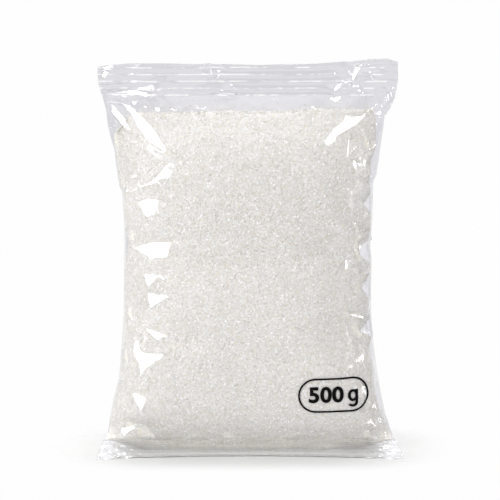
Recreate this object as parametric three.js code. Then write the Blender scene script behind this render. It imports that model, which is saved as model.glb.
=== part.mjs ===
// A half-kilogram pillow bag of white sugar, standing on its settled base.
// The pack is a tube of clear film, crimped shut across the top and the bottom.
// The sugar's weight spreads the foot flat and folds the bottom seal forward.
// Millimetres, +Z up, the front faces -Y, the origin is on the floor under the middle.
import * as THREE from "three";

const { lerp, smoothstep } = THREE.MathUtils;

// Seals
const FLAT_WIDTH = 138; // the film tube laid flat
const SEAL_HEIGHT = 13.5; // each crimped seal, along the film
const SEAL_FOOT = 161.5; // height at which the top seal begins
const SEAL_THICKNESS = 0.9;
const RIB_PITCH = 3; // crimp ribs that run across both seals
const RIB_DEPTH = 0.35;
const WAVE_DEPTH = 1.6; // the top edge waves this far out of its plane
const WAVE_LENGTH = 120;
const WAVE_START = 0.6; // in radians

// The bottom seal, folded forward
const FIN_ROOT = new THREE.Vector2(-15, 5); // where it leaves the bag, as y and z
const FIN_DROOP = 4.2; // its ends fall this much from the root to the free edge
const FIN_CURL = 2.2; // the middle of the free edge stays this much higher
const EAR_FORWARD = 4; // the two corners point this much further forward

// The lap seam down the back of the tube
const SEAM_WIDTH = 10;
const SEAM_OFFSET = 5; // its middle, to the right of the bag's middle
const SEAM_STEP = 0.8;
const SEAM_SLOPE = 1.5; // the width of its soft edges

// A level section falls away from its middle as (1 - across^power)^root
const SIDE_POWER = 2.4; // in the upper bag
const FOOT_POWER = 7; // at the settled, boxy foot
const FULL_ROOT = 0.46; // where the bag is round; one gives the sharp lens beside a seal

// Fractions of the way down the body between which its section changes
const FILLS_OUT = [0, 0.3];
const TURNS_BOXY = [0.6, 0.9];
const CLOSES_AGAIN = [0.86, 1];

// Soft unevenness of the settled sugar: a broad pattern and a finer one on the slant
const LUMP_DEPTH = 0.6;
const BROAD_LUMP = { across: 70, along: 94, share: 0.6 };
const FINE_LUMP = { along: 50, share: 0.4 };

// Mesh density
const COLUMNS = 34;
const BODY_ROWS = 38;
const SEAL_ROWS = 9;
const COLUMN_CROWDING = 0.75; // zero spaces the columns evenly, one as a cosine towards the edges
const ROW_CROWDING = 0.45;

// Half widths of the outline against height, left and right of the middle
const LEFT_OUTLINE = [
  [4, 68], [6, 66.6], [8.5, 64.8], [15, 63.1], [24, 61.7], [36, 59.5], [52, 58.3],
  [72, 57.6], [100, 57.3], [120, 58.8], [140, 61.7], [155, 65.6], [163, 67.3], [176, 68.6],
];
const RIGHT_OUTLINE = [
  [4, 68], [6, 66.4], [8.5, 64.2], [15, 61.7], [24, 59.5], [36, 57.3], [52, 55.6],
  [72, 55.2], [100, 55.4], [120, 56.3], [140, 59], [152, 61.3], [159, 64.5],
  [170, 66.2], [178, 66.2],
];

// Height of the top edge against x: it dips in the middle and lifts at the right corner
const TOP_EDGE = [
  [-68.6, 174], [-62, 175.2], [-52, 175.8], [-20, 175.5], [4, 174.8],
  [30, 175.5], [50, 177], [62, 177.8], [66.2, 176.6],
];

// Side view of the bag as y and z, from the foot of the top seal to the root of the bottom seal
const FRONT_PROFILE = [
  [-0.45, 161.5], [-6.7, 153.5], [-15.2, 137], [-20.5, 115], [-23.8, 88], [-24.7, 58],
  [-23.8, 31], [-21.8, 16], [-18.6, 8], [-15, 5.45],
];
const BACK_PROFILE = [
  [0.45, 161.5], [6.7, 153.5], [14.3, 137], [19.5, 115], [22.8, 88], [23.8, 58],
  [23.3, 30], [21.6, 12], [18.8, 2.5], [13.5, -1], [2, -1.6], [-8, -1.2], [-13, 1.6], [-15, 4.55],
];
const EDGE_PROFILE = [
  [0, 161.5], [0, 120], [0, 60], [-1, 35], [-4, 20], [-9, 10.5], [-15, 5],
];

// Creases that pinch the side edges: side, height, depth into the bag, half height, reach inwards
const PINCHES = [
  { side: -1, height: 138, depth: 1.2, half: 9, reach: 30 },
  { side: -1, height: 118, depth: 1.5, half: 7, reach: 24 },
  { side: -1, height: 101, depth: 1.3, half: 7, reach: 20 },
  { side: -1, height: 84, depth: 0.9, half: 6, reach: 22 },
  { side: -1, height: 66, depth: 1, half: 7, reach: 20 },
  { side: -1, height: 48, depth: 1, half: 6, reach: 22 },
  { side: -1, height: 32, depth: 1.3, half: 6, reach: 18 },
  { side: 1, height: 151, depth: 1.9, half: 6, reach: 26 },
  { side: 1, height: 122, depth: 1.4, half: 8, reach: 18 },
  { side: 1, height: 94, depth: 1.5, half: 8, reach: 20 },
  { side: 1, height: 68, depth: 1, half: 7, reach: 22 },
  { side: 1, height: 44, depth: 1, half: 7, reach: 18 },
  { side: 1, height: 24, depth: 1.1, half: 6, reach: 20 },
];
const PINCH_HOLLOW = 0.07; // a crease takes this share of the bulge for each millimetre of its depth

// A smooth function through a few pairs
function smoothThrough(pairs) {
  const places = pairs.map((pair) => pair[0]);
  const values = pairs.map((pair) => pair[1]);
  const curve = new THREE.CubicInterpolant(places, values, 1);
  return (at) => curve.evaluate(at)[0];
}

function profileCurve(pairs) {
  return new THREE.SplineCurve(pairs.map(([y, z]) => new THREE.Vector2(y, z)));
}

const leftHalfWidth = smoothThrough(LEFT_OUTLINE);
const rightHalfWidth = smoothThrough(RIGHT_OUTLINE);
const topEdgeHeight = smoothThrough(TOP_EDGE);
const frontProfile = profileCurve(FRONT_PROFILE);
const backProfile = profileCurve(BACK_PROFILE);
const edgeProfile = profileCurve(EDGE_PROFILE);

// Distance from the middle to the outline, on the side that the signed fraction names
function halfWidth(across, height) {
  return across < 0 ? leftHalfWidth(height) : rightHalfWidth(height);
}

// Signed fractions from -1 to 1 across the bag, closer together towards the side edges
function acrossFraction(column) {
  const even = (2 * column) / COLUMNS - 1;
  return lerp(even, Math.sin((even * Math.PI) / 2), COLUMN_CROWDING);
}

// Fractions from above 0 to 1, closer together near both ends
function crowdedSteps(count) {
  return Array.from({ length: count }, (_, index) => {
    const even = (index + 1) / count;
    return lerp(even, (1 - Math.cos(Math.PI * even)) / 2, ROW_CROWDING);
  });
}

// How deep the side creases are at this height and distance in from the edge
function pinchAt(across, height, inward) {
  let share = 0;
  let depth = 0;
  for (const pinch of PINCHES) {
    const fade = 1 - inward / pinch.reach;
    if (Math.sign(across) !== pinch.side || fade <= 0) continue;
    const near = 1 - Math.abs(height - pinch.height) / pinch.half;
    if (near > share) {
      share = near * fade;
      depth = pinch.depth * share;
    }
  }
  return depth;
}

// A wave of the given length, from -1 to 1
function wave(at, length, start = 0) {
  return Math.sin((2 * Math.PI * at) / length + start);
}

// Gentle lumps of the packed sugar, from -1 to 1
function lumpAt(x, z) {
  const broad = wave(x, BROAD_LUMP.across, 1.3) * wave(z, BROAD_LUMP.along, 0.4);
  return BROAD_LUMP.share * broad + FINE_LUMP.share * wave(x + z, FINE_LUMP.along, 2);
}

// The back seam's step, which falls to zero beside it
function seamStepAt(x) {
  const inside = SEAM_WIDTH / 2 + SEAM_SLOPE - Math.abs(x - SEAM_OFFSET);
  return SEAM_STEP * smoothstep(inside, 0, SEAM_SLOPE);
}

// A crimp rib pushes both faces of a seal the same way
function ribAt(along) {
  return RIB_DEPTH * wave(along, RIB_PITCH, Math.PI / 2);
}

// A point of the top seal: side is -1 on the front face and 1 on the back
function topSealPoint(across, up, side) {
  const x = across * halfWidth(across, SEAL_FOOT + up * SEAL_HEIGHT);
  const z = lerp(SEAL_FOOT, topEdgeHeight(x), up);
  const bend = WAVE_DEPTH * up * wave(x, WAVE_LENGTH, WAVE_START) + ribAt(up * SEAL_HEIGHT);
  const seam = side > 0 ? seamStepAt(x) : 0;
  return new THREE.Vector3(x, side * (SEAL_THICKNESS / 2) + bend + seam, z);
}

// A point of the filled body: down runs from 0 at the top seal to 1 at the bottom seal
function bodyPoint(across, down, side) {
  const centre = (side < 0 ? frontProfile : backProfile).getPointAt(down);
  const opposite = (side < 0 ? backProfile : frontProfile).getPointAt(down);
  const edge = edgeProfile.getPointAt(down);
  const outward = centre.clone().sub(opposite).normalize();

  // the section is a sharp lens beside the seals, full and round in the middle, and boxy at the foot
  const full = smoothstep(down, ...FILLS_OUT) * (1 - smoothstep(down, ...CLOSES_AGAIN));
  const boxy = smoothstep(down, ...TURNS_BOXY);
  const power = lerp(SIDE_POWER, FOOT_POWER, boxy);
  const root = lerp(1, FULL_ROOT, full);
  const reach = halfWidth(across, edge.y);
  const crease = pinchAt(across, edge.y, (1 - Math.abs(across)) * reach);
  const bulge = Math.pow(1 - Math.pow(Math.abs(across), power), root) * (1 - PINCH_HOLLOW * crease);

  const x = across * (reach - crease);
  const place = edge.clone().lerp(centre, bulge);
  place.addScaledVector(outward, (SEAL_THICKNESS / 2) * (1 - bulge));
  place.addScaledVector(outward, LUMP_DEPTH * full * bulge * (1 - boxy) * lumpAt(x, place.y));
  if (side > 0) place.addScaledVector(outward, seamStepAt(x) * (1 - boxy));
  return new THREE.Vector3(x, place.x, Math.max(place.y, 0));
}

// A point of the bottom seal: side is -1 on its upper face and 1 underneath
function finPoint(across, out, side) {
  const ends = across * across;
  const x = across * lerp(halfWidth(across, FIN_ROOT.y), FLAT_WIDTH / 2, out);
  const y = FIN_ROOT.x - out * (SEAL_HEIGHT + EAR_FORWARD * (ends - 0.5));
  const middle = FIN_ROOT.y - out * (FIN_DROOP - FIN_CURL * (1 - ends));
  const z = middle + ribAt(out * SEAL_HEIGHT) - RIB_DEPTH * (1 - out) - side * (SEAL_THICKNESS / 2);
  return new THREE.Vector3(x, y, Math.max(z, side < 0 ? SEAL_THICKNESS : 0));
}

// Every ring runs left to right along the front face and back along the back face
function ring(pointAt, along) {
  const points = [];
  for (let column = 0; column <= COLUMNS; column++) points.push(pointAt(acrossFraction(column), along, -1));
  for (let column = COLUMNS; column >= 0; column--) points.push(pointAt(acrossFraction(column), along, 1));
  return points;
}

function bagRings() {
  const rings = [];
  for (let row = SEAL_ROWS; row >= 0; row--) rings.push(ring(topSealPoint, row / SEAL_ROWS));
  for (const down of crowdedSteps(BODY_ROWS)) rings.push(ring(bodyPoint, down));
  for (let row = 1; row <= SEAL_ROWS; row++) rings.push(ring(finPoint, row / SEAL_ROWS));
  return rings;
}

// Quads between neighbouring rings, and a strip between front and back at the first and last ring
function loft(rings) {
  const size = rings[0].length;
  const index = [];
  const quad = (a, b, c, d) => index.push(a, b, c, a, c, d);
  for (let row = 0; row + 1 < rings.length; row++) {
    for (let step = 0; step < size; step++) {
      const next = (step + 1) % size;
      quad(row * size + step, (row + 1) * size + step, (row + 1) * size + next, row * size + next);
    }
  }
  const last = (rings.length - 1) * size;
  for (let step = 0; step < COLUMNS; step++) {
    const facing = size - 1 - step;
    quad(step, step + 1, facing - 1, facing);
    quad(last + step, last + facing, last + facing - 1, last + step + 1);
  }
  const geometry = new THREE.BufferGeometry().setFromPoints(rings.flat());
  geometry.setIndex(index);
  geometry.computeVertexNormals();
  return geometry;
}

const bagGeometry = loft(bagRings());

// The origin is on the floor, under the middle of the whole outline
bagGeometry.computeBoundingBox();
const middle = bagGeometry.boundingBox.getCenter(new THREE.Vector3());
bagGeometry.translate(-middle.x, -middle.y, -bagGeometry.boundingBox.min.z);

// White sugar seen through clear glossy film
const sugarInFilm = new THREE.MeshStandardMaterial({ color: 0xe4e0da, roughness: 0.35, metalness: 0 });

const sugarBag = new THREE.Mesh(bagGeometry, sugarInFilm);
sugarBag.name = "sugar_bag";

const part = new THREE.Group();
part.add(sugarBag);

export default part;
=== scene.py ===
# %% [markdown]
# # A half-kilogram bag of sugar
# A real bag of this kind is a tube of thin clear film, filled with sugar and crimped shut at both ends.
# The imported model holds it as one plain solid. This scene puts the real things in its place: the film with
# its creases and ribs, the sugar inside, loose crystals on it and the weight mark printed on the film.
# Everything is worked out in millimetres, because that is how a bag is measured, and turned into metres
# when a mesh is made.

import math
from functools import partial

import bmesh
import bpy
import numpy as np
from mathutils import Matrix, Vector
from mathutils.bvhtree import BVHTree
from mathutils.geometry import delaunay_2d_cdt


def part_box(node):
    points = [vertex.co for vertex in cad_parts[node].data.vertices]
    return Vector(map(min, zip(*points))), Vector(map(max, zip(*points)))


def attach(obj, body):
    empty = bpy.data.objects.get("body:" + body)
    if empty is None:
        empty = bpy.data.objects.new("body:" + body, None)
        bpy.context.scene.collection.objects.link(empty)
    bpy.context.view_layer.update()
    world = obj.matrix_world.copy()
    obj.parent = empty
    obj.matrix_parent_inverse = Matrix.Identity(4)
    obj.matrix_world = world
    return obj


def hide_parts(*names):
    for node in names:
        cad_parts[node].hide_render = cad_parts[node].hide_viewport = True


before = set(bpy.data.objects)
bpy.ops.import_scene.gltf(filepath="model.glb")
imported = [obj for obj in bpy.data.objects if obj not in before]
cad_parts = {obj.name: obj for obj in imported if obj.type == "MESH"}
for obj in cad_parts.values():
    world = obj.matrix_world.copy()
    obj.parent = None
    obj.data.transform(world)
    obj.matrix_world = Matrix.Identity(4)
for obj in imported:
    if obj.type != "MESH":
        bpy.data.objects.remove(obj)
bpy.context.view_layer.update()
MM = 0.001
lowest, highest = (np.array(corner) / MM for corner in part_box("sugar_bag"))
print("bag in mm:", np.round(highest - lowest, 1))

# %% [markdown]
# ## The bag's measures
# Both seals are pressed by ribbed jaws. The bag stands on its settled foot, so the bottom seal is folded
# forward under the belly. The outline is given as half widths against height. It is made of straight
# stretches, because film under load runs straight between two creases.

# %% Measures of the film
FIN_REACH = 30.5  # the bottom seal's corners stand this far in front of the top seal
SEAL_PLANE = lowest[1] + FIN_REACH
SEAL_FOOT = 161.5
SEAL_HEIGHT = 13.5
FLAT_WIDTH = highest[0] - lowest[0]
RIB_PITCH = 3.1
SHEET_GAP = 0.24  # half the distance between the two sheets in a seal
LOWEST_FILM = 0.05  # the film stays this far above the floor

LEFT_OUTLINE = [
    (4.5, 67.6), (6.8, 66.1), (8.2, 64.8), (13.4, 64.3), (21.9, 62.8), (31.7, 60.3), (46.9, 58.9),
    (60.7, 57.9), (83.8, 57.5), (101.8, 57.2), (117.8, 58.2), (119.6, 59.3), (130.1, 60.8),
    (136.5, 61.4), (141, 62.8), (147.4, 64.3), (154.6, 65.1), (159.2, 66.2), (162.3, 67.3),
    (168.2, 68.6), (174, 68.8),
]
RIGHT_OUTLINE = [
    (4.5, 67.1), (7.1, 64.8), (10.1, 63.6), (15.9, 61.7), (23.2, 60.1), (38.6, 57.4), (53.8, 55.6),
    (66.7, 54.9), (87.1, 55.2), (92.1, 54.5), (106.3, 55.4), (121.9, 55.7), (125.1, 57), (132.8, 58.1),
    (139.7, 58.9), (147.4, 60), (151.5, 60.4), (156, 63.3), (160.1, 65), (168.2, 66.4), (176.1, 66.1),
]
TOP_EDGE = [
    (-68.8, 174), (-62, 175.2), (-52, 175.8), (-20, 175.5), (4, 174.8), (30, 175.5), (50, 177),
    (62, 177.8), (66.2, 176.4),
]

# side view as y and z, counted from the top seal's plane
FRONT_PROFILE = [
    (-SHEET_GAP, 161.5), (-6.7, 153.5), (-15.2, 137), (-20.5, 115), (-23.8, 88), (-24.7, 58),
    (-23.8, 31), (-21.8, 16), (-18.6, 8), (-15, 5 + SHEET_GAP),
]
BACK_PROFILE = [
    (SHEET_GAP, 161.5), (6.7, 153.5), (14.3, 137), (19.5, 115), (22.8, 88), (23.8, 58), (23.3, 30),
    (21.6, 12), (18.8, 2.5), (13.5, -1), (2, -1.6), (-8, -1.2), (-13, 1.6), (-15, 5 - SHEET_GAP),
]
EDGE_PROFILE = [(0, 161.5), (0, 120), (0, 60), (-1, 35), (-4, 20), (-9, 10.5), (-15, 5)]
print("seal plane at y =", round(SEAL_PLANE, 2))


# %% Helpers for smooth shapes
def between(at, low, high):
    """0 below low, 1 above high and a soft step between them"""
    share = np.clip((at - low) / (high - low), 0, 1)
    return share * share * (3 - 2 * share)


def polyline(pairs):
    """straight stretches through pairs of place and value"""
    places, values = np.array(pairs, float).T
    return lambda at: np.interp(at, places, values)


def spline(points, steps=600):
    """a smooth curve through the points, which takes a share of its length"""
    p = np.array([points[0], *points, points[-1]], float)
    spans = len(points) - 1
    at = np.linspace(0, spans, steps)
    span = np.minimum(at.astype(int), spans - 1)
    f = (at - span)[:, None]
    before, a, b, after = p[span], p[span + 1], p[span + 2], p[span + 3]
    leave, arrive = (b - before) / 2, (after - a) / 2
    cubic, square = 2 * a - 2 * b + leave + arrive, 3 * b - 3 * a - 2 * leave - arrive
    curve = cubic * f**3 + square * f**2 + leave * f + a
    length = np.concatenate([[0], np.cumsum(np.linalg.norm(np.diff(curve, axis=0), axis=1))])
    share = length / length[-1]
    return lambda down: np.stack([np.interp(down, share, curve[:, k]) for k in (0, 1)], -1)


left_half = polyline(LEFT_OUTLINE)
right_half = polyline(RIGHT_OUTLINE)
top_edge = polyline(TOP_EDGE)
profiles = {-1: spline(FRONT_PROFILE), 1: spline(BACK_PROFILE)}
edge_profile = spline(EDGE_PROFILE)


def half_width(across, height):
    """distance from the middle to the outline"""
    return np.where(across < 0, left_half(height), right_half(height))


# %% [markdown]
# ## The film's form
# The film could be inflated by a cloth simulation, but then its outline and creases would fall anywhere.
# Here it is laid onto the bag's known form instead: a flat grid is added, as the film lies before it is
# filled, and each of its points is moved to its place on the seal, the body or the folded fin.

# %% Three zones of one sheet
FRONT, BACK = -1, 1
TOP_WAVES = [(1.2, 19, 0.6), (0.5, 7.3, 2)]  # depth, length over two pi, and start
FILLS_OUT, CLOSES_AGAIN, TURNS_BOXY = (0, 0.3), (0.86, 1), (0.6, 0.9)  # shares of the way down
# a level section falls away from its middle as (1 - across^power)^root
SIDE_POWER, FOOT_POWER = 2.4, 7
ROUNDED = 0.56  # the root where the bag is full; one gives a sharp lens
FIN_ROOT = (-15, 5)  # where the bottom seal leaves the bag, as y and z
EAR_FORWARD = 4  # its two corners point this much further forward
FIN_DROOP, FIN_CURL = 4.6, 0.6  # its free edge lies this much lower, and its middle less so


def sheet_gap(across, pressed=0.0):
    """half the distance between the sheets: none at the sides, and less where they are pressed"""
    return SHEET_GAP * np.sqrt(1 - np.abs(across) ** 30) * (1 - 0.7 * pressed)


def seal_points(across, up, side):
    """the top seal: up runs from 0 at its foot to 1 at its cut edge"""
    x = across * half_width(across, SEAL_FOOT + up * SEAL_HEIGHT)
    z = SEAL_FOOT + up * (top_edge(x) - SEAL_FOOT)
    wave = up * sum(depth * np.sin(x / length + start) for depth, length, start in TOP_WAVES)
    gap = sheet_gap(across, between(up, 0.85, 1))
    return np.stack([x, SEAL_PLANE + wave + side * gap, z], -1)


def body_points(across, down, side, inset=0.0):
    """the filled body: down runs from 0 at the top seal to 1 at the bottom seal"""
    centre, opposite, edge = profiles[side](down), profiles[-side](down), edge_profile(down)
    outward = (centre - opposite) / np.linalg.norm(centre - opposite, axis=-1, keepdims=True)
    full = between(down, *FILLS_OUT) * (1 - between(down, *CLOSES_AGAIN))
    power = SIDE_POWER + (FOOT_POWER - SIDE_POWER) * between(down, *TURNS_BOXY)
    bulge = (1 - np.abs(across) ** power) ** (1 + (ROUNDED - 1) * full)
    x = across * half_width(across, edge[..., 1])
    room = np.linalg.norm(centre - opposite, axis=-1) / 2 * bulge
    gap = sheet_gap(across) * (1 - bulge) - inset * between(room, 0, 3)
    y, z = np.moveaxis(edge + (centre - edge) * bulge[..., None] + outward * gap[..., None], -1, 0)
    return np.stack([x, SEAL_PLANE + y, np.maximum(z, LOWEST_FILM)], -1)


def fin_points(across, out, side):
    """the bottom seal: out runs from 0 at the bag to 1 at its cut edge"""
    ends = across**2
    root = half_width(across, FIN_ROOT[1])
    x = across * (root + (FLAT_WIDTH / 2 - root) * out)
    y = SEAL_PLANE + FIN_ROOT[0] - out * (SEAL_HEIGHT + EAR_FORWARD * (ends - 0.5))
    middle = FIN_ROOT[1] - out * (FIN_DROOP - FIN_CURL * (1 - ends))
    z = middle - side * sheet_gap(across, between(out, 0.8, 1))
    return np.stack([x, y, np.maximum(z, LOWEST_FILM + (side < 0) * 0.3)], -1)


print("width at half height in mm:", round(float(left_half(89) + right_half(89)), 1))

# %% Rows and columns of the grid
COLUMNS = 154
SEAL_ROWS, BODY_ROWS, FIN_ROWS = 54, 240, 22
PLAIN_SHARE = 0.42  # the grid is coarser in the smooth middle, by this share


def spaced_columns():
    """fractions from -1 to 1, evenly spaced along the film, and closer together beside its edges"""
    fine = np.linspace(-1, 1, 2001)
    line = body_points(fine, np.full(fine.shape, 0.45), FRONT)
    step = np.linalg.norm(np.diff(line, axis=0), axis=1)
    middle = (fine[1:] + fine[:-1]) / 2
    crowd = PLAIN_SHARE + (1 - PLAIN_SHARE) * between(np.abs(middle), 0.42, 0.62)
    along = np.concatenate([[0], np.cumsum(step * crowd)])
    return np.interp(np.linspace(0, along[-1], COLUMNS + 1), along, fine)


across_columns = spaced_columns()
seal_up = np.linspace(1, 0, SEAL_ROWS + 1)
body_down = np.linspace(0, 1, BODY_ROWS + 1)[1:]
fin_out = np.linspace(0, 1, FIN_ROWS + 1)[1:]
print("film grid:", COLUMNS, "by", SEAL_ROWS + BODY_ROWS + FIN_ROWS, "faces a sheet")


def sheet_form(side):
    """every grid point of the front or back sheet on the bag's smooth form"""
    zones = [(seal_points, seal_up), (body_points, body_down), (fin_points, fin_out)]
    rows = []
    for points, along in zones:
        across, at = np.meshgrid(across_columns, along)
        rows.append(points(across, at, side))
    return np.concatenate(rows)


# %% [markdown]
# ## The lamps' places
# Film is a mirror, so its facets only show when they look at a lamp. The lamps could be set up last, as in a
# real studio, but here the creases are turned towards them, so they are chosen first. Each is a soft box that
# fades towards its rim, as a lamp behind cloth does. The fills and the small edge lamp are there for creases
# to mirror. One broad soft lamp lights the sugar and isn't mirrored by the film. The two back lamps are only
# seen mirrored, in the film's back and sides.

# %% Directions, sizes and brightness
# degrees to the right of the camera and up, width and height in metres, radiance, and which rays miss it
LAMPS = {
    "lamp_left": ((-47, 21), (0.36, 0.24), 13),
    "fill_left": ((-68, 6), (0.28, 0.5), 1.4),
    "lamp_right": ((36, 34), (0.2, 0.2), 12),
    "lamp_edge": ((62, 14), (0.12, 0.12), 10),
    "fill_right": ((66, 8), (0.28, 0.5), 1.2),
    "lamp_top": ((180, 74), (0.6, 0.35), 9.5),
    "soft_left": ((-38, 8), (0.9, 0.9), 2.9, ("glossy", "transmission")),
    "lamp_back_left": ((-132, 24), (0.3, 0.3), 8, ("diffuse",)),
    "lamp_back_right": ((136, 30), (0.24, 0.24), 8, ("diffuse",)),
}
DARK_LEFT = (-88, 2)  # no lamp stands there, so a patch that mirrors it stays plain
LAMP_DISTANCE = 1.0
LAMP_AIM = Vector((0, 0, 90))
CAMERA_DISTANCE = 1.25
CAMERA_RISE = math.radians(9)
CAMERA_AIM = Vector((-0.23, 0, 91.2))
CAMERA_BACK = Vector((0, -math.cos(CAMERA_RISE), math.sin(CAMERA_RISE)))
camera_place = CAMERA_AIM + CAMERA_BACK * CAMERA_DISTANCE / MM


def towards_lamp(azimuth, elevation):
    turn, rise = math.radians(azimuth), math.radians(elevation)
    return Vector((math.sin(turn) * math.cos(rise), -math.cos(turn) * math.cos(rise), math.sin(rise)))


directions = {name: lamp[0] for name, lamp in LAMPS.items()} | {"dark_left": DARK_LEFT}
mirrored_places = {
    name: LAMP_AIM + towards_lamp(*direction) * LAMP_DISTANCE / MM for name, direction in directions.items()
}
print(len(LAMPS), "lamps; the camera stands at", np.round(camera_place), "mm")

# %% [markdown]
# ## Creases
# Stiff film doesn't fold softly like cloth. It buckles into flat triangles that meet in sharp edges, and
# each triangle mirrors one patch of the studio. So the creases are a faceted height map: corners with a
# height, joined into triangles, which push the film in or out. Most corners are scattered by chance,
# strongest beside the side edges and below the top seal, where the film has too much room. The large
# mirrors are listed one by one: each is a flat patch, turned so that it shows the lamp to the camera.

# %% Flat patches, as x and z of their corners, and what each one mirrors
MIRRORS = {
    "lamp_left": [
        [
            (-60.1, 159.8), (-54.9, 157.3), (-44.2, 148.2), (-37.4, 138.8), (-37.2, 135.4), (-45.3, 140.6),
            (-50.6, 146.6), (-54, 152.6),
        ],
        [
            (-66.4, 161.5), (-61.2, 156.9), (-55.9, 151.2), (-52.2, 145), (-55, 145.4), (-61.5, 151.6),
            (-65.6, 157.6),
        ],
        [(-36.9, 133.1), (-42.3, 124.6), (-44.1, 121.9), (-53.7, 118.5), (-45, 124.4)],
        [(-51, 114.4), (-46, 116.5), (-41.4, 115.8), (-44.1, 108.1), (-46.5, 107.5)],
        [(-52.9, 93.7), (-44, 97), (-34.9, 97.4), (-42.5, 89.5), (-44.2, 87.5), (-45.5, 89.5)],
        [(-48.6, 82.1), (-40.6, 82.8), (-45.6, 75.6)],
        [(-47, 74.1), (-37, 73.5), (-44.3, 66.2)],
        [(-49.4, 58.6), (-43.5, 57), (-37.5, 55.2), (-42, 52.3)],
        [(-52.5, 46.8), (-39.3, 47.3), (-47, 39.5), (-49.5, 35), (-49, 40), (-51.5, 43.5)],
        [(-54.4, 29.6), (-51, 28.6), (-47.1, 26.6), (-48.5, 20), (-52, 23.5)],
        [(-60, 12.2), (-48.6, 13.6), (-54.5, 10), (-56.6, 7.6)],
        [(-61.5, 162.1), (-51.6, 164.1), (-44.3, 166.2), (-42.5, 164.6), (-46.1, 159.3), (-48.2, 161.4)],
        [(-68, 174.5), (-61, 174.9), (-64.5, 170), (-67.5, 168)],
        [(-17.3, 173.1), (-16, 173.1), (-13.3, 168.6), (-10.1, 163.2), (-14.6, 161.9), (-16, 168.2)],
    ],
    "lamp_right": [
        [
            (58.3, 158.8), (52.4, 154), (45.6, 151), (36.5, 146.4), (32, 140.9), (32.9, 140.5),
            (42.4, 145), (48.3, 148.7), (52, 153.1),
        ],
        [(61, 161.4), (62.6, 162.5), (63.7, 158.7), (61.9, 156.5)],
        [(53.3, 153.9), (56.5, 153), (59.7, 153.8), (57.9, 151.1)],
        [(47, 173.9), (48.7, 176), (51.4, 176.2), (48.9, 171.6), (44.8, 165.3), (43.4, 165.9)],
        [(40.2, 167.6), (43, 168.4), (39.9, 163.4), (37.6, 162.6), (36.8, 164.2)],
        [(52.5, 172), (55, 174.5), (54, 169)],
        [(34.9, 159.7), (38.5, 160.6), (41.7, 162.3), (41.6, 160.2), (38.5, 158), (35.8, 159.3)],
    ],
    "lamp_edge": [
        [(56.1, 149.4), (58.8, 149.3), (58.9, 140.6), (57.9, 139.7)],
        [(48.3, 102.9), (50.2, 101.6), (53.7, 95.9), (51.6, 98.6)],
        [(45.2, 67.4), (47.5, 66.6), (46.6, 65)],
        [(43.1, 65.3), (49.4, 63.5), (51.8, 59.9), (49.4, 60.6)],
        [(46.6, 43.2), (49.4, 45.1), (51.8, 46.2), (51, 41.2)],
        [(52.9, 14.8), (54.8, 16.4), (57.5, 12.5), (57, 10.8)],
    ],
    "fill_right": [
        [(50.6, 112.8), (54.3, 116.8), (53.9, 108.7)],
        [(49.7, 94.9), (54.5, 96.1), (54.9, 85.6), (50.2, 89.4)],
        [(50.3, 75.7), (54.4, 81.4), (54.2, 68.7), (52.7, 71)],
        [(49.9, 59.8), (54.2, 59.6), (54.6, 52.6), (50.4, 54.8)],
    ],
    "dark_left": [
        [
            (-64, 153), (-60.1, 149.5), (-53.8, 140.8), (-45.1, 137), (-38.5, 132.6), (-47, 125.9),
            (-56, 121), (-58.5, 130),
        ],
    ],
}
BRIGHT_CREASES = {
    "lamp_left": [
        [(-59.3, 120.3), (-55.6, 123.7), (-49.6, 127.3), (-43.8, 130.3), (-38.5, 132.6)],
        [
            (-61, 160.6), (-55, 158.9), (-49.7, 157.1), (-45.2, 155.6), (-38.4, 155.3), (-30, 155.1),
            (-22.7, 154.9),
        ],
        [(-53.7, 174), (-49.2, 174.5)],
        [(-22.7, 157.2), (-15.1, 159.6), (-8.3, 157.6), (-5.6, 154.9)],
    ],
    "fill_left": [
        [(-55.8, 94.3), (-53.6, 99)],
        [(-55.3, 91), (-52.5, 97.9)],
        [(-55.6, 87.5), (-52.3, 87.3)],
        [(-55.6, 86.8), (-54, 84.4), (-51.1, 83.1)],
        [(-57.5, 66), (-54, 61), (-55.5, 56)],
        [(-63.5, 8.5), (-58.5, 14), (-57.5, 20)],
    ],
    "lamp_right": [
        [(14, 155.5), (22, 158.6), (31, 155.2)],
    ],
    "lamp_edge": [
        [(45.5, 131.6), (47.8, 133), (50.6, 134.2), (51.9, 128.3)],
        [(45.5, 106.4), (48.3, 103.1), (50.1, 105.2), (52.5, 109)],
        [(46.4, 72.8), (42.7, 66.1), (47.5, 65)],
        [(57.6, 8.7), (60, 9.9), (62.4, 6)],
        [(53.5, 127), (54.6, 121.5)],
        [(55, 24), (58, 18), (60, 12)],
    ],
}
DULL_CREASES = [
    [(-38, 160), (-31, 156), (-21, 158.2), (-14, 155.6)],
    [(-5, 160.4), (2, 156.4), (11, 159.6), (19, 156.2), (27, 160)],
    [(-58.5, 84.5), (-55, 81.5), (-51.5, 77.5), (-48, 81)],
    [(-66.5, 6), (-62, 12), (-57, 17.5)],
]
CREASE_WIDTH = 1.7  # of a bright crease, which is a chain of thin mirrors
LINE_HEIGHT, LINE_HALF_WIDTH = 0.45, 0.95  # of a dull crease, which is a sharp ridge
RIM_STEP, INNER_STEP, INNER_MARGIN = 2.2, 2.4, 1.2  # spacing of a mirror's corners
SCATTER_STEP, SCATTER_SHIFT = (6.6, 6.2), 2.6  # spacing of the chance corners, and how far each may stray
KEEP_CLEAR = 2.8  # no chance corner comes nearer to a placed one
print(sum(len(polygons) for polygons in MIRRORS.values()), "mirrors placed by hand")


# %% Outlines of creases
def inside_polygon(at, polygon):
    """whether a point lies within the polygon's outline"""
    x, z = at
    inside = False
    for (ax, az), (bx, bz) in zip(polygon, polygon[1:] + polygon[:1]):
        if (az > z) != (bz > z) and x < (bx - ax) * (z - az) / (bz - az) + ax:
            inside = not inside
    return inside


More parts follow.
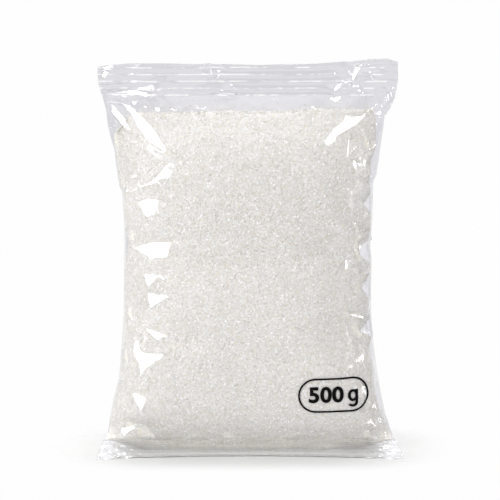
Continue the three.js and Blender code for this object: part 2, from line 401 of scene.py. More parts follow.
def stepped(points, step, closed=False):
    """the points of a broken line with more in between, at most a step apart"""
    out = []
    ends = points[1:] + (points[:1] if closed else [])
    for a, b in zip(points, ends):
        count = max(1, math.ceil(math.dist(a, b) / step))
        out += [(a[0] + (b[0] - a[0]) * k / count, a[1] + (b[1] - a[1]) * k / count) for k in range(count)]
    return out if closed else out + [points[-1]]


def spindle(a, b):
    """a thin outline from one point to another, pointed at both"""
    length = math.dist(a, b)
    side_x, side_z = (a[1] - b[1]) / length * CREASE_WIDTH / 2, (b[0] - a[0]) / length * CREASE_WIDTH / 2
    middle_x, middle_z = (a[0] + b[0]) / 2, (a[1] + b[1]) / 2
    return [a, (middle_x + side_x, middle_z + side_z), b, (middle_x - side_x, middle_z - side_z)]


# %% The smooth form of a sheet, and what is seen of it
FIN_LEAD = 6  # the creases stop this many rows above the bottom seal


class Form:
    """the smooth form of one sheet: its points, and each point's distance across from the middle"""

    def __init__(self, side):
        self.side = side
        self.points = sheet_form(side)
        self.across = distance_across(self.points)
        self.out = outward_normals(self.points, side)
        rows, columns = self.points.shape[:2]
        corner = np.arange(rows * columns).reshape(rows, columns)
        around = [corner[:-1, :-1], corner[:-1, 1:], corner[1:, 1:], corner[1:, :-1]]
        quads = np.stack(around, -1).reshape(-1, 4)
        self.tree = BVHTree.FromPolygons(self.points.reshape(-1, 3).tolist(), quads.tolist())
        self.centre_z = self.points[: SEAL_ROWS + BODY_ROWS - FIN_LEAD, columns // 2, 2]

    def seen_at(self, x, z):
        """the place and outward normal that are seen from the front at x and z, kept within the outline"""
        z = min(z, float(top_edge(x)) - 0.5)
        x = float(np.clip(x, 0.5 - left_half(z), right_half(z) - 0.5))
        place, normal, _, _ = self.tree.ray_cast(Vector((x, -200, z)), Vector((0, 1, 0)))
        return place, normal * (-1 if normal.y > 0 else 1)

    def flat_place(self, x, z):
        """distance across the film and height of the place that is given by x and z"""
        row = int(np.argmin(np.abs(self.centre_z - z)))
        return float(np.interp(x, self.points[row, :, 0], self.across[row])), z


def distance_across(points):
    """each point's distance from the middle, measured along the film"""
    steps = np.linalg.norm(np.diff(points, axis=1), axis=-1)
    along = np.concatenate([np.zeros((len(points), 1)), np.cumsum(steps, axis=1)], axis=1)
    middle = points.shape[1] // 2
    return along - along[:, middle : middle + 1]


def outward_normals(points, side):
    """unit normals of a grid of points, pointing out of the bag"""
    down = np.gradient(points, axis=0)
    right = np.gradient(points, axis=1)
    normal = np.cross(right, down) * side
    return normal / np.maximum(np.linalg.norm(normal, axis=-1, keepdims=True), 1e-9)


# %% The height map
class CreaseMap:
    """heights of a crumpled sheet, faceted, on the distance across the film and the height"""

    def __init__(self, form, seed, mirrors=(), lines=()):
        self.form = form
        self.corners, self.edges = [], []
        for lamp, polygon in mirrors:
            self.add_mirror(lamp, polygon)
        for line in lines:
            self.add_line(line)
        self.scatter(np.random.default_rng(seed))
        flat = [Vector(corner[:2]) for corner in self.corners]
        points, _, faces, origin, _, _ = delaunay_2d_cdt(flat, self.edges, [], 0, 1e-4)
        heights = np.array([corner[2] for corner in self.corners])
        spread = [(p.x, p.y, float(np.mean(heights[o])) if o else 0.0) for p, o in zip(points, origin)]
        self.tree = BVHTree.FromPolygons(spread, faces)

    def add_mirror(self, lamp, polygon):
        rim = stepped(polygon, RIM_STEP, closed=True)
        low, high = np.min(polygon, 0), np.max(polygon, 0)
        inner = [
            (x, z)
            for x in np.arange(low[0], high[0], INNER_STEP)
            for z in np.arange(low[1], high[1], INNER_STEP)
            if inside_polygon((x, z), polygon) and min(math.dist((x, z), r) for r in rim) > INNER_MARGIN
        ]
        seen = [self.form.seen_at(*at) for at in rim + inner]
        anchor = sum((place for place, _ in seen), Vector()) / len(seen)
        to_lamp = (mirrored_places[lamp] - anchor).normalized()
        to_camera = (camera_place - anchor).normalized()
        facing = (to_lamp + to_camera).normalized()
        heights = [(anchor - place).dot(facing) / max(normal.dot(facing), 0.5) for place, normal in seen]
        level = sum(heights) / len(heights)
        start = len(self.corners)
        for at, height in zip(rim + inner, heights):
            self.corners.append((*self.form.flat_place(*at), height - level))
        count = len(rim)
        self.edges += [(start + k, start + (k + 1) % count) for k in range(count)]

    def add_line(self, line):
        points = [self.form.flat_place(*at) for at in stepped(line, RIM_STEP)]
        start = len(self.corners)
        self.corners += [(*at, LINE_HEIGHT) for at in points]
        self.edges += [(start + k, start + k + 1) for k in range(len(points) - 1)]
        for (ax, az), (bx, bz) in zip(points, points[1:]):
            length = math.dist((ax, az), (bx, bz))
            side_x, side_z = (az - bz) / length * LINE_HALF_WIDTH, (bx - ax) / length * LINE_HALF_WIDTH
            for sign in (1, -1):
                self.corners.append(((ax + bx) / 2 + sign * side_x, (az + bz) / 2 + sign * side_z, 0.0))

    def scatter(self, chance):
        placed = np.array([corner[:2] for corner in self.corners]).reshape(-1, 2)
        for z in np.arange(-2, 184, SCATTER_STEP[1]):
            for u in np.arange(-93, 94, SCATTER_STEP[0]):
                at = np.array([u, z]) + chance.uniform(-SCATTER_SHIFT, SCATTER_SHIFT, 2)
                height = chance.normal() * film_slack(*at)
                if len(placed) and np.min(np.hypot(*(placed - at).T)) < KEEP_CLEAR:
                    continue
                self.corners.append((*at, height))

    def at(self, u, z):
        down = Vector((0, 0, -1))
        out = np.zeros(u.shape)
        for index in np.ndindex(u.shape):
            hit = self.tree.ray_cast(Vector((u[index], z[index], 50)), down)[0]
            out[index] = hit.z if hit else 0.0
        return out


# %% Both sheets' creases
# millimetres of chance height: in the middle of the bag, more towards each of these, and in the top seal
SLACK = {"middle": 0.05, "sides": 0.42, "shoulder": 0.18, "headspace": 0.5, "foot": 0.3, "seal": 0.12}
FRONT_SEED, BACK_SEED = 4, 9


def film_slack(u, z):
    """how freely the film creases at this place, in millimetres"""
    sides = between(abs(u), 30, 56)
    shoulder = between(z, 128, 150)
    headspace = between(z, 148, 158)
    seal = between(z, 160, 163)
    foot = between(-z, -18, -6)
    loose = SLACK["middle"] + SLACK["sides"] * sides + SLACK["shoulder"] * shoulder
    loose = loose + SLACK["headspace"] * headspace + SLACK["foot"] * foot
    return loose * (1 - seal) + SLACK["seal"] * seal


front_form, back_form = Form(FRONT), Form(BACK)
mirrors = [(lamp, polygon) for lamp, polygons in MIRRORS.items() for polygon in polygons]
for lamp, lines in BRIGHT_CREASES.items():
    mirrors += [(lamp, spindle(a, b)) for line in lines for a, b in zip(line, line[1:])]
front_creases = CreaseMap(front_form, FRONT_SEED, mirrors, DULL_CREASES)
back_creases = CreaseMap(back_form, BACK_SEED)
print("crease corners:", len(front_creases.corners), "in front,", len(back_creases.corners), "behind")

# %% [markdown]
# ## Ribs and lap seam
# Ribbed jaws press the two sheets together. Their ribs are narrow, with flat film between them. The tube is
# closed down its back, where one edge of the film laps over the other. Ribs and seam could be a bump in the
# material, but they show at the seal's outline, so they are real heights, added to those of the creases.

# %% Heights of creases, ribs and seam together
SEAM_MIDDLE, SEAM_HALF, SEAM_STEP = 5, 4.8, 0.22
FLATTENED = 0.25  # what is left of the ribs where a crease has pulled them flat
TOP_RIB, TOP_SHARPNESS = 0.42, 3.5  # a rib's height, and how narrow it is
FIN_RIB, FIN_SHARPNESS = 0.22, 5
zone_row = np.arange(SEAL_ROWS + BODY_ROWS + FIN_ROWS + 1)
seal_along = np.where(zone_row <= SEAL_ROWS, 1 - zone_row / SEAL_ROWS, -1.0) * SEAL_HEIGHT
fin_along = (zone_row - SEAL_ROWS - BODY_ROWS) / FIN_ROWS * SEAL_HEIGHT


def ribs(along, height, sharpness):
    return height * (0.5 + 0.5 * np.cos(2 * np.pi * along / RIB_PITCH)) ** sharpness


def rib_heights(side, points):
    """ribs across both seals, in the same direction on both sheets, pressed unevenly along their length"""
    x, z = points[..., 0], points[..., 2]
    up = seal_along[:, None]
    pressure = np.sin(x / 6.1 + 1.7 * up) * np.sin(x / 2.6 + 1) + 0.6 * np.sin(x / 19 + up)
    top = ribs(up + 0.9, TOP_RIB, TOP_SHARPNESS) * (up >= 0) * (0.3 + 0.7 * between(pressure, -0.5, 0.4))
    fin = ribs(fin_along, FIN_RIB, FIN_SHARPNESS) * (fin_along > 0)
    for polygon in sum(MIRRORS.values(), []):
        if min(polygon[0][1], polygon[1][1]) > SEAL_FOOT - 1:
            low, high = np.min(polygon, 0), np.max(polygon, 0)
            for at in np.argwhere((x > low[0]) & (x < high[0]) & (z > low[1]) & (z < high[1]) & (top != 0)):
                if inside_polygon((x[tuple(at)], z[tuple(at)]), polygon):
                    top[tuple(at)] *= FLATTENED
    return -side * (top + fin[:, None])


def ear_heights(side, x):
    """buckles in the bottom seal's two corners, where the film is drawn together"""
    ears = between(np.abs(x), 40, 58) * between(fin_along[:, None], 0, 4)
    return -side * ears * (0.5 * np.abs(np.sin(x / 2.9 - fin_along[:, None] / 2.2)) - 0.25)


def seam_height(x, z):
    """the lap seam down the back, pressed flat in the top seal"""
    step = between(SEAM_HALF - np.abs(x - SEAM_MIDDLE), -0.5, 0.5)
    return SEAM_STEP * step * (1 - 0.7 * between(z, 160, 163))


# %% Adding them up
EDGE_FADE = 2.5 / 60  # the creases fade out over this share of the half width
side_fade = between(1 - np.abs(across_columns), 0, EDGE_FADE)[None, :]
front_height = front_creases.at(front_form.across, front_form.points[..., 2])
back_height = back_creases.at(back_form.across, back_form.points[..., 2])
welded = between(-zone_row, -SEAL_ROWS - 8, -SEAL_ROWS)[:, None]
back_height = back_height * (1 - welded) - front_height * welded
in_fin = (zone_row > SEAL_ROWS + BODY_ROWS - FIN_LEAD)[:, None]
reliefs = {}
for form, height in ((front_form, front_height), (back_form, back_height)):
    reliefs[form.side] = np.where(in_fin, 0, height * side_fade) + rib_heights(form.side, form.points)
    reliefs[form.side] += ear_heights(form.side, form.points[..., 0])
reliefs[BACK] += seam_height(back_form.points[..., 0], back_form.points[..., 2])
under_foot = (back_form.points[..., 2] < 1.2) & (zone_row[:, None] > SEAL_ROWS)
reliefs[BACK][under_foot] = np.minimum(reliefs[BACK][under_foot], 0)


def creased(form):
    points = form.points + form.out * reliefs[form.side][..., None]
    points[..., 2] = np.maximum(points[..., 2], LOWEST_FILM)
    return points


front_points, back_points = creased(front_form), creased(back_form)
print("front relief in mm:", np.round([reliefs[FRONT].min(), reliefs[FRONT].max()], 2))


# %% Making a sheet of film
def nothing_selected():
    if bpy.context.object and bpy.context.object.mode != "OBJECT":
        bpy.ops.object.mode_set(mode="OBJECT")
    bpy.ops.object.select_all(action="DESELECT")


def select_only(piece):
    nothing_selected()
    piece.select_set(True)
    bpy.context.view_layer.objects.active = piece


def linked(name, mesh):
    """a new object of the scene that holds the mesh"""
    piece = bpy.data.objects.new(name, mesh)
    bpy.context.scene.collection.objects.link(piece)
    return piece


def grid_piece(name, points):
    """a grid added flat and then moved onto its points, row by row"""
    nothing_selected()
    rows, columns = points.shape[:2]
    bpy.ops.mesh.primitive_grid_add(x_subdivisions=columns - 1, y_subdivisions=rows - 1, size=1)
    piece = bpy.context.object
    piece.name = piece.data.name = name
    piece.data.vertices.foreach_set("co", (points.reshape(-1, 3) * MM).ravel())
    piece.data.update()
    return piece


def face_outwards(piece, inside):
    """turns the faces over if they look at the given inner point"""
    mesh = piece.data
    count = len(mesh.polygons)
    centres, normals = np.zeros(count * 3), np.zeros(count * 3)
    mesh.polygons.foreach_get("center", centres)
    mesh.polygons.foreach_get("normal", normals)
    outward = np.sum((centres.reshape(-1, 3) - np.array(inside) * MM) * normals.reshape(-1, 3))
    if outward < 0:
        mesh.flip_normals()


def thicken(piece, thickness, shares):
    """gives a sheet its thickness inwards, times each point's share, and applies it"""
    group = piece.vertex_groups.new(name="thickness")
    for share in np.unique(shares):
        group.add(np.flatnonzero(shares == share).tolist(), float(share), "REPLACE")
    select_only(piece)
    solid = piece.modifiers.new("thickness", "SOLIDIFY")
    solid.thickness = thickness * MM
    solid.offset = -1
    solid.vertex_group = group.name
    bpy.ops.object.modifier_apply(modifier=solid.name)
    bpy.ops.object.shade_smooth()


# %% Both sheets of film
FILM_THICKNESS = 0.1
# the film's thickness tapers off where both sheets meet, at the sides and the cut edges
side_share = between(1 - np.abs(across_columns), 0, 0.03)
cut_share = between(np.minimum(zone_row, zone_row[::-1]), -3, 5)
film_share = np.round(0.1 + 0.9 * np.minimum.outer(cut_share, side_share), 2).ravel()
BAG_MIDDLE = (0, SEAL_PLANE, 85)
film_front = grid_piece("film_front", front_points)
film_back = grid_piece("film_back", back_points)
for sheet in (film_front, film_back):
    face_outwards(sheet, BAG_MIDDLE)
    thicken(sheet, FILM_THICKNESS, film_share)
    print(sheet.name, len(sheet.data.polygons), "faces")

# %% [markdown]
# ## The sugar
# The sugar fills the film like a liquid that has set. It lies against the front and back sheets, with a
# little air beside the side edges and a headspace on top. All of its grains as meshes would be millions of
# faces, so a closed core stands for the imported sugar. It follows the film's larger creases, its skin is
# slightly rough, and loose crystals are strewn over it.

# %% The core of packed sugar
INSET = 0.65  # from the film's smooth form to the core
LOWEST_SUGAR = 0.6
# width of the empty strip of film beside the sugar, against height
LEFT_AIR = polyline([
    (4, 0.4), (14, 0.2), (58, 0.2), (86, 0.3), (91, 1.6), (96, 2), (104, 0.4), (120, 0.3), (130, 0.6),
    (138, 0.5), (141, 1), (144, 2.2), (148, 7), (152, 11), (156, 15),
])
RIGHT_AIR = polyline([
    (4, 0.6), (12, 0.9), (20, 1.6), (30, 2.2), (40, 1.6), (48, 2), (52.4, 1), (54.8, 5), (59.8, 5.4),
    (60.8, 1), (68.5, 0.9), (71, 2.3), (75.7, 4.7), (81.4, 0.9), (85.4, 0.8), (89.4, 5), (94.9, 5.3),
    (96.8, 1), (108.5, 1), (112.8, 4.9), (117, 1.2), (124, 2.6), (132, 3.6), (138, 2), (143, 2.9),
    (150, 3.5), (155, 7),
])
CORE_TOP, CORE_FOOT = 0.053, 0.99  # shares of the way down the body
ROUND_TOP, ROUND_FOOT, ROUND_SIDE = 0.011, 0.008, 0.04  # shares over which the core closes
LEVEL_WAVE, LEVEL_RISE = 0.0015, 0.012  # how the sugar's level waves, and how much it rises to the right
ROUGHNESS = 0.04
SOFTENINGS = 8
CORE_ROWS, CORE_COLUMNS = 262, 176
random_core = np.random.default_rng(21)


def softened(heights, times):
    """heights on a grid, averaged with their neighbours a number of times"""
    for _ in range(times):
        wide = np.pad(heights, 1, mode="edge")
        heights = (wide[:-2, 1:-1] + wide[2:, 1:-1] + wide[1:-1, :-2] + wide[1:-1, 2:] + 2 * heights) / 6
    return heights


def core_sheet(side, creases):
    """one half of the core's skin, and how far each of its points stands off the middle of the bag"""
    even = np.linspace(-1, 1, CORE_COLUMNS + 1)
    across_even = np.sign(even) * np.sin(np.abs(even) * np.pi / 2) ** 0.9
    down_even = CORE_TOP + (CORE_FOOT - CORE_TOP) * np.linspace(0, 1, CORE_ROWS + 1)
    across, down = np.meshgrid(across_even, down_even)
    ends = np.clip(np.minimum((down - CORE_TOP) / ROUND_TOP, (CORE_FOOT - down) / ROUND_FOOT), 0, 1)
    sides = np.clip((1 - np.abs(across)) / ROUND_SIDE, 0, 1)
    cap = np.sqrt((1 - (1 - ends) ** 2) * (1 - (1 - sides) ** 2))
    level = LEVEL_WAVE * np.sin(across * 9 + 0.4) - LEVEL_RISE * between(across, -0.1, 0.9)
    level = level + random_core.uniform(-LEVEL_WAVE, LEVEL_WAVE, CORE_COLUMNS + 1)
    down = down + level * (1 - between(down, CORE_TOP, CORE_TOP + 0.12))
    lower = 0.003 * np.sin(across * 12.5 + 1.2) + 0.002 * np.sin(across * 29) - 0.003
    down = down + lower * between(down, 0.9, CORE_FOOT)
    height = edge_profile(down)[..., 1]
    air = np.where(across < 0, LEFT_AIR(height), RIGHT_AIR(height))
    across = across * (1 - air / half_width(across, height) * np.abs(across) ** 6)
    points = body_points(across, down, side, inset=INSET)
    sunk = softened(np.minimum(creases.at(distance_across(points), points[..., 2]), 0), SOFTENINGS)
    rough = random_core.uniform(-ROUGHNESS, ROUGHNESS, across.shape)
    normal = outward_normals(points, side)
    points = points + normal * ((sunk * between(1 - np.abs(across), 0, 0.06) + rough) * cap)[..., None]
    return points, cap


# %% Closing the core
front_core, cap = core_sheet(FRONT, front_creases)
back_core, _ = core_sheet(BACK, back_creases)
middle_line = (front_core + back_core) / 2
front_core = middle_line + (front_core - middle_line) * cap[..., None]
back_core = middle_line + (back_core - middle_line) * cap[..., None]
front_core[:, [0, -1]] = back_core[:, [0, -1]] = middle_line[:, [0, -1]]
for skin in (front_core, back_core):
    skin[..., 2] = np.maximum(skin[..., 2], LOWEST_SUGAR)


def join_pieces(name, first, *others):
    nothing_selected()
    for piece in (first, *others):
        piece.select_set(True)
    bpy.context.view_layer.objects.active = first
    bpy.ops.object.join()
    first.name = first.data.name = name
    return first


def weld(piece, distance):
    select_only(piece)
    bpy.ops.object.mode_set(mode="EDIT")
    bpy.ops.mesh.select_all(action="SELECT")
    bpy.ops.mesh.remove_doubles(threshold=distance * MM)
    bpy.ops.mesh.normals_make_consistent(inside=False)
    bpy.ops.object.mode_set(mode="OBJECT")


sugar = join_pieces("sugar_core", grid_piece("core_front", front_core), grid_piece("core_back", back_core))
weld(sugar, 0.02)
select_only(sugar)
bpy.ops.object.shade_smooth_by_angle(angle=math.radians(55))
print("sugar core", len(sugar.data.polygons), "faces")

# %% [markdown]
# ## Loose crystals
# A crystal of sugar is a small slanted box. A particle system could strew them, but it would have to be
# kept from pushing them through the film. So places are drawn from the core's own grid, evenly by area, and
# each gets an eight-cornered box of its own size and turn. They are joined into a few meshes.

# %% Crystals and their turns
BOX_CORNERS = np.array([[x, y, z] for x in (-1, 1) for y in (-1, 1) for z in (-1, 1)], float) / 2
BOX_FACES = np.array([[0, 1, 3, 2], [4, 6, 7, 5], [0, 4, 5, 1], [2, 3, 7, 6], [0, 2, 6, 4], [1, 5, 7, 3]])
CRYSTALS = 6600
CRYSTAL_TILT = 0.2
CRYSTAL_SIZE, CRYSTAL_STRETCH, CRYSTAL_SLANT = (0.3, 0.5), (0.75, 1.15), 0.25
CRYSTAL_RISE = (-0.2, 0.03)  # from the core's skin, so most are sunk into it
LOWEST_CRYSTAL = 1.5


def unit(vectors):
    return vectors / np.linalg.norm(vectors, axis=-1, keepdims=True)


def lying_turns(chance, normals):
    """turns that lay one side of each crystal roughly on the surface, spun at random"""
    up = unit(normals + chance.normal(scale=CRYSTAL_TILT, size=normals.shape))
    first = unit(np.cross(up, chance.normal(size=normals.shape)))
    return np.stack([first, np.cross(up, first), up], -1)


def spread_over(points, side, count, chance):
    """random places on a grid of points, evenly by area, with their normals"""
    a, b, c = points[:-1, :-1], points[:-1, 1:], points[1:, :-1]
    area = np.linalg.norm(np.cross(b - a, c - a), axis=-1)
    normal = outward_normals(points, side)[:-1, :-1]
    area = area * (a[..., 2] > LOWEST_CRYSTAL)
    chosen = chance.choice(area.size, count, p=area.ravel() / area.sum())
    f, g = chance.uniform(0, 1, (2, count, 1))
    a, b, c = (corner.reshape(-1, 3)[chosen] for corner in (a, b, c))
    return a + (b - a) * f + (c - a) * g, normal.reshape(-1, 3)[chosen]


def crystal_piece(name, places, normals, chance):
    count = len(places)
    size = chance.uniform(*CRYSTAL_SIZE, (count, 1)) * chance.uniform(*CRYSTAL_STRETCH, (count, 3))
    corners = BOX_CORNERS[None] * size[:, None]
    corners[..., 0] += corners[..., 2] * CRYSTAL_SLANT
    corners = np.einsum("nij,nkj->nki", lying_turns(chance, normals), corners)
    corners += (places + normals * chance.uniform(*CRYSTAL_RISE, (count, 1)))[:, None]
    mesh = bpy.data.meshes.new(name)
    mesh.vertices.add(count * 8)
    mesh.vertices.foreach_set("co", (corners.reshape(-1, 3) * MM).ravel())
    faces = (BOX_FACES[None] + 8 * np.arange(count)[:, None, None]).reshape(-1, 4)
    mesh.loops.add(faces.size)
    mesh.loops.foreach_set("vertex_index", faces.ravel())
    mesh.polygons.add(len(faces))
    mesh.polygons.foreach_set("loop_start", np.arange(0, faces.size, 4))
    mesh.update(calc_edges=True)
    return linked(name, mesh)


# %% Strewing crystals over the core and above it
CLINGING = 420  # places drawn on the film above the sugar; the few outside its outline stay empty


def sugar_level(x):
    """height to which the sugar reaches behind the front film"""
    return 154.2 + 1.8 * between(x, -6, 50) - 0.8 * np.maximum(-52 - x, 0) - 0.9 * np.maximum(x - 52, 0)


def spread_above(count, chance):
    """crystals that cling to the front film above the sugar, fewer the higher they are"""
    x = chance.uniform(-60, 60, count)
    z = sugar_level(x) - 0.3 + chance.exponential(2.1, count)
    inside = (z < 161) & (np.abs(x) < half_width(x, z) - 4)
    seen = [front_form.seen_at(*at) for at in zip(x[inside], z[inside])]
    places, normals = (np.array(vectors) for vectors in zip(*seen))
    return places - normals * chance.uniform(0.3, 0.8, (len(seen), 1)), normals


chance = np.random.default_rng(33)
crystals = []
front_places, front_normals = spread_over(front_core, FRONT, 3 * CRYSTALS - CLINGING, chance)
top_places, top_normals = spread_above(CLINGING, chance)
front_places = np.concatenate([front_places, top_places])
front_normals = np.concatenate([front_normals, top_normals])


def add_crystals(face, names, places, normals):
    """one piece for each name, from left to right"""
    for name, part in zip(names, np.array_split(np.argsort(places[:, 0]), len(names))):
        crystals.append(crystal_piece(f"crystals_{face}_{name}", places[part], normals[part], chance))


add_crystals("front", ("left", "middle", "right"), front_places, front_normals)
add_crystals("back", ("left", "right"), *spread_over(back_core, BACK, 2 * CRYSTALS, chance))
print(sum(len(piece.data.polygons) for piece in crystals) * 2, "triangles of crystals")

# %% [markdown]
# ## The weight mark
# The bag's net weight is printed in black at the lower right: plain figures in a ring with round ends. It
# could be a picture on the film, but a mesh stays sharp close up and follows the film's creases. So text is
# turned into a mesh, cut into small faces and laid onto the film from the front.

# %% Figures and ring
MARK_MIDDLE = (37.35, 28.2)
RING_SIZE = (32.0, 16.0)
RING_LINE = 0.85
FIGURE_HEIGHT = 7.1
BASELINE = -3.0
LETTER_LEFT = 6.5
MARK_TILT = math.radians(1)
PRINT_LIFT = 0.06

film_tree = BVHTree.FromPolygons(
    [tuple(v.co) for v in film_front.data.vertices], [tuple(p.vertices) for p in film_front.data.polygons]
)


def lay_on_film(piece):
    """moves a flat mesh, drawn in x and z, onto the front film"""
    for vertex in piece.data.vertices:
        x, _, z = vertex.co
        hit = film_tree.ray_cast(Vector((x, -1, z)), Vector((0, 1, 0)))[0]
        vertex.co = (x, hit.y - PRINT_LIFT * MM, z)
    piece.data.update()


def ring_outline(inset):
    """points round a pill shape, drawn around its own middle"""
    radius = RING_SIZE[1] / 2 - inset
    straight = RING_SIZE[0] / 2 - RING_SIZE[1] / 2
    turn = np.linspace(-np.pi / 2, np.pi / 2, 28)
    right = np.stack([straight + radius * np.cos(turn), radius * np.sin(turn)], -1)
    top = np.stack([np.linspace(straight, -straight, 22)[1:-1], np.full(20, radius)], -1)
    half = np.concatenate([right, top])
    return np.concatenate([half, -half])


def band(name, outer, inner, closed=False):
    """a flat strip of faces between two rows of points"""
    count = len(outer)
    points = [(x, 0, z) for x, z in np.concatenate([outer, inner]) * MM]
    ends = range(count if closed else count - 1)
    faces = [(i, (i + 1) % count, count + (i + 1) % count, count + i) for i in ends]
    mesh = bpy.data.meshes.new(name)
    mesh.from_pydata(points, [], faces)
    return linked(name, mesh)


def arc(middle, radii, turn):
    """points on an ellipse, drawn from the letter's left end and the baseline"""
    x, z = LETTER_LEFT + middle[0], BASELINE + middle[1]
    return np.stack([x + radii[0] * np.cos(turn), z + radii[1] * np.sin(turn)], -1)


def letter_g():
    """the letter g of two arcs and a stem, as sign painters draw it"""
    around, under = np.linspace(0, 2 * np.pi, 40)[:-1], np.linspace(0.05, -2.65, 20)
    outer, inner = arc((2.2, 2.6), (2.25, 2.75), around), arc((2.35, 2.6), (1.05, 1.6), around)
    bowl = band("bowl", outer, inner, closed=True)
    hook = band("hook", arc((2.2, -0.7), (2.45, 2.0), under), arc((2.2, -0.7), (1.1, 0.85), under))
    stem_left, stem_right = LETTER_LEFT + 3.3, LETTER_LEFT + 4.65
    low, high = BASELINE - 0.8, BASELINE + 5.2
    stem = band("stem", [(stem_left, low), (stem_left, high)], [(stem_right, low), (stem_right, high)])
    return bowl, hook, stem


def text_piece(body, left, width, boldness):
    """a flat mesh of upright text from left on, as wide as given"""
    nothing_selected()
    bpy.ops.object.text_add(location=(0, 0, BASELINE * MM), rotation=(math.pi / 2, 0, 0))
    piece = bpy.context.object
    piece.data.body = body
    piece.data.size = FIGURE_HEIGHT * 1.38 * MM
    piece.data.offset = boldness * MM
    piece.data.space_character = 1.04
    bpy.ops.object.convert(target="MESH")
    bpy.ops.object.transform_apply(location=True, rotation=True, scale=True)
    piece = bpy.context.object
    start, end = (pick(v.co.x for v in piece.data.vertices) for pick in (min, max))
    for vertex in piece.data.vertices:
        vertex.co.x = left * MM + (vertex.co.x - start) / (end - start) * width * MM
    return piece


ring = band("ring", ring_outline(0), ring_outline(RING_LINE), closed=True)
figures = text_piece("500", -11.2, 15.8, 0.33)
corners = np.array([v.co for v in figures.data.vertices]) / MM
print("figures from", np.round(corners.min(0), 2), "to", np.round(corners.max(0), 2))

# %% Laying the mark on the film
mark = join_pieces("weight_mark", figures, *letter_g(), ring)
cos, sin = math.cos(MARK_TILT), math.sin(MARK_TILT)
for vertex in mark.data.vertices:
    x, _, z = vertex.co / MM
    vertex.co = Vector((MARK_MIDDLE[0] + x * cos - z * sin, 0, MARK_MIDDLE[1] + x * sin + z * cos)) * MM
LONGEST_EDGE = 0.9
cutter = bmesh.new()
cutter.from_mesh(mark.data)
bmesh.ops.triangulate(cutter, faces=cutter.faces)
for _ in range(4):
    long_edges = [edge for edge in cutter.edges if edge.calc_length() > LONGEST_EDGE * MM]
    bmesh.ops.subdivide_edges(cutter, edges=long_edges, cuts=1)
    bmesh.ops.triangulate(cutter, faces=cutter.faces)
cutter.normal_update()
bmesh.ops.reverse_faces(cutter, faces=[face for face in cutter.faces if face.normal.y > 0])
cutter.to_mesh(mark.data)
cutter.free()
lay_on_film(mark)
print("weight mark", len(mark.data.polygons), "faces")

# %% [markdown]
# ## Materials
# Each finish is a tree of nodes that reads the object's own coordinates, so its pattern stays on the piece
# when that moves. A picture could be laid on instead, but it would blur close up. A node is written here as
# one line with all that goes into it: values, and the nodes before it.


# %% Helpers for node trees
def add_node(tree, kind, inputs=None, **settings):
    """a shader node; each input is a value, an output of another node, or a node for its first output"""
    node = tree.nodes.new("ShaderNode" + kind)
    for name, value in settings.items():
        setattr(node, name, value)
    for name, value in (inputs or {}).items():
        if isinstance(value, bpy.types.Node):
            value = value.outputs[0]
        if isinstance(value, bpy.types.NodeSocket):
            tree.links.new(value, node.inputs[name])
        else:
            node.inputs[name].default_value = value
    return node


def add_math(add, operation, *values):
    return add("Math", dict(enumerate(values)), operation=operation)


def add_ramp(add, value, start, end, low=0, high=1, smooth=False):
    """goes from low to high while the value goes from start to end"""
    inputs = {"Value": value, "From Min": start, "From Max": end, "To Min": low, "To Max": high}
    return add("MapRange", inputs, interpolation_type="SMOOTHSTEP" if smooth else "LINEAR")


def new_material(name):
    """an empty material, a function that adds nodes to it, and its object coordinates"""
    material = bpy.data.materials.new(name)
    material.use_nodes = True
    material.node_tree.nodes.clear()
    add = partial(add_node, material.node_tree)
    return material, add, add("TexCoord").outputs["Object"]


# %% [markdown]
# ## Clear film
# Film mirrors at its surface, lets the rest through and takes a little of it, so empty film looks grey before
# a white ground. The bottom seal lies in the bag's own shadow, so there the film's tint is left out, white in
# its middle and light grey towards its corners: the seal is painted lighter. Glass all through would be
# truer, but the sugar behind two sheets would be dark and spotted. So for rays from the lamps, for light that
# the sugar scatters, and after a few bounces, the film is simply transparent.

# %% Tint, the painted lighter bottom seal, and fine wrinkles of the film
# white and a light grey paint the bottom seal lighter than the film's tint; the white also paints the rib
# highlights
PAINTED_LIGHT_WHITE, FIN_CORNER_PAINTED_LIGHTER, FILM_TINT = (1, 1, 1, 1), (0.92, 0.92, 0.935, 1), (0.855, 0.85, 0.872, 1)
WRINKLE_DEPTH = 0.09
CLEAR_AFTER = 4  # bounces
film_material, add, place = new_material("clear film")
parts = add("SeparateXYZ", {0: place}).outputs
broad = add("TexNoise", {"Vector": place, "Scale": 170, "Detail": 2})
fine = add("TexNoise", {"Vector": place, "Scale": 620, "Detail": 1})
wrinkles = add_math(add, "MULTIPLY_ADD", fine, 0.13, broad)
bump = add("Bump", {"Strength": 1, "Distance": WRINKLE_DEPTH * MM, "Height": wrinkles})
# the bottom seal is painted lighter: white in its middle, light grey towards its corners
to_corner = add_ramp(add, add_math(add, "ABSOLUTE", parts["X"]), 0.035, 0.06)
corner = add("MixRGB", {0: to_corner, 1: PAINTED_LIGHT_WHITE, 2: FIN_CORNER_PAINTED_LIGHTER})
above_lighter_fin = add_ramp(add, parts["Z"], 0.004, 0.012)
tint = add("MixRGB", {0: above_lighter_fin, 1: corner, 2: FILM_TINT})
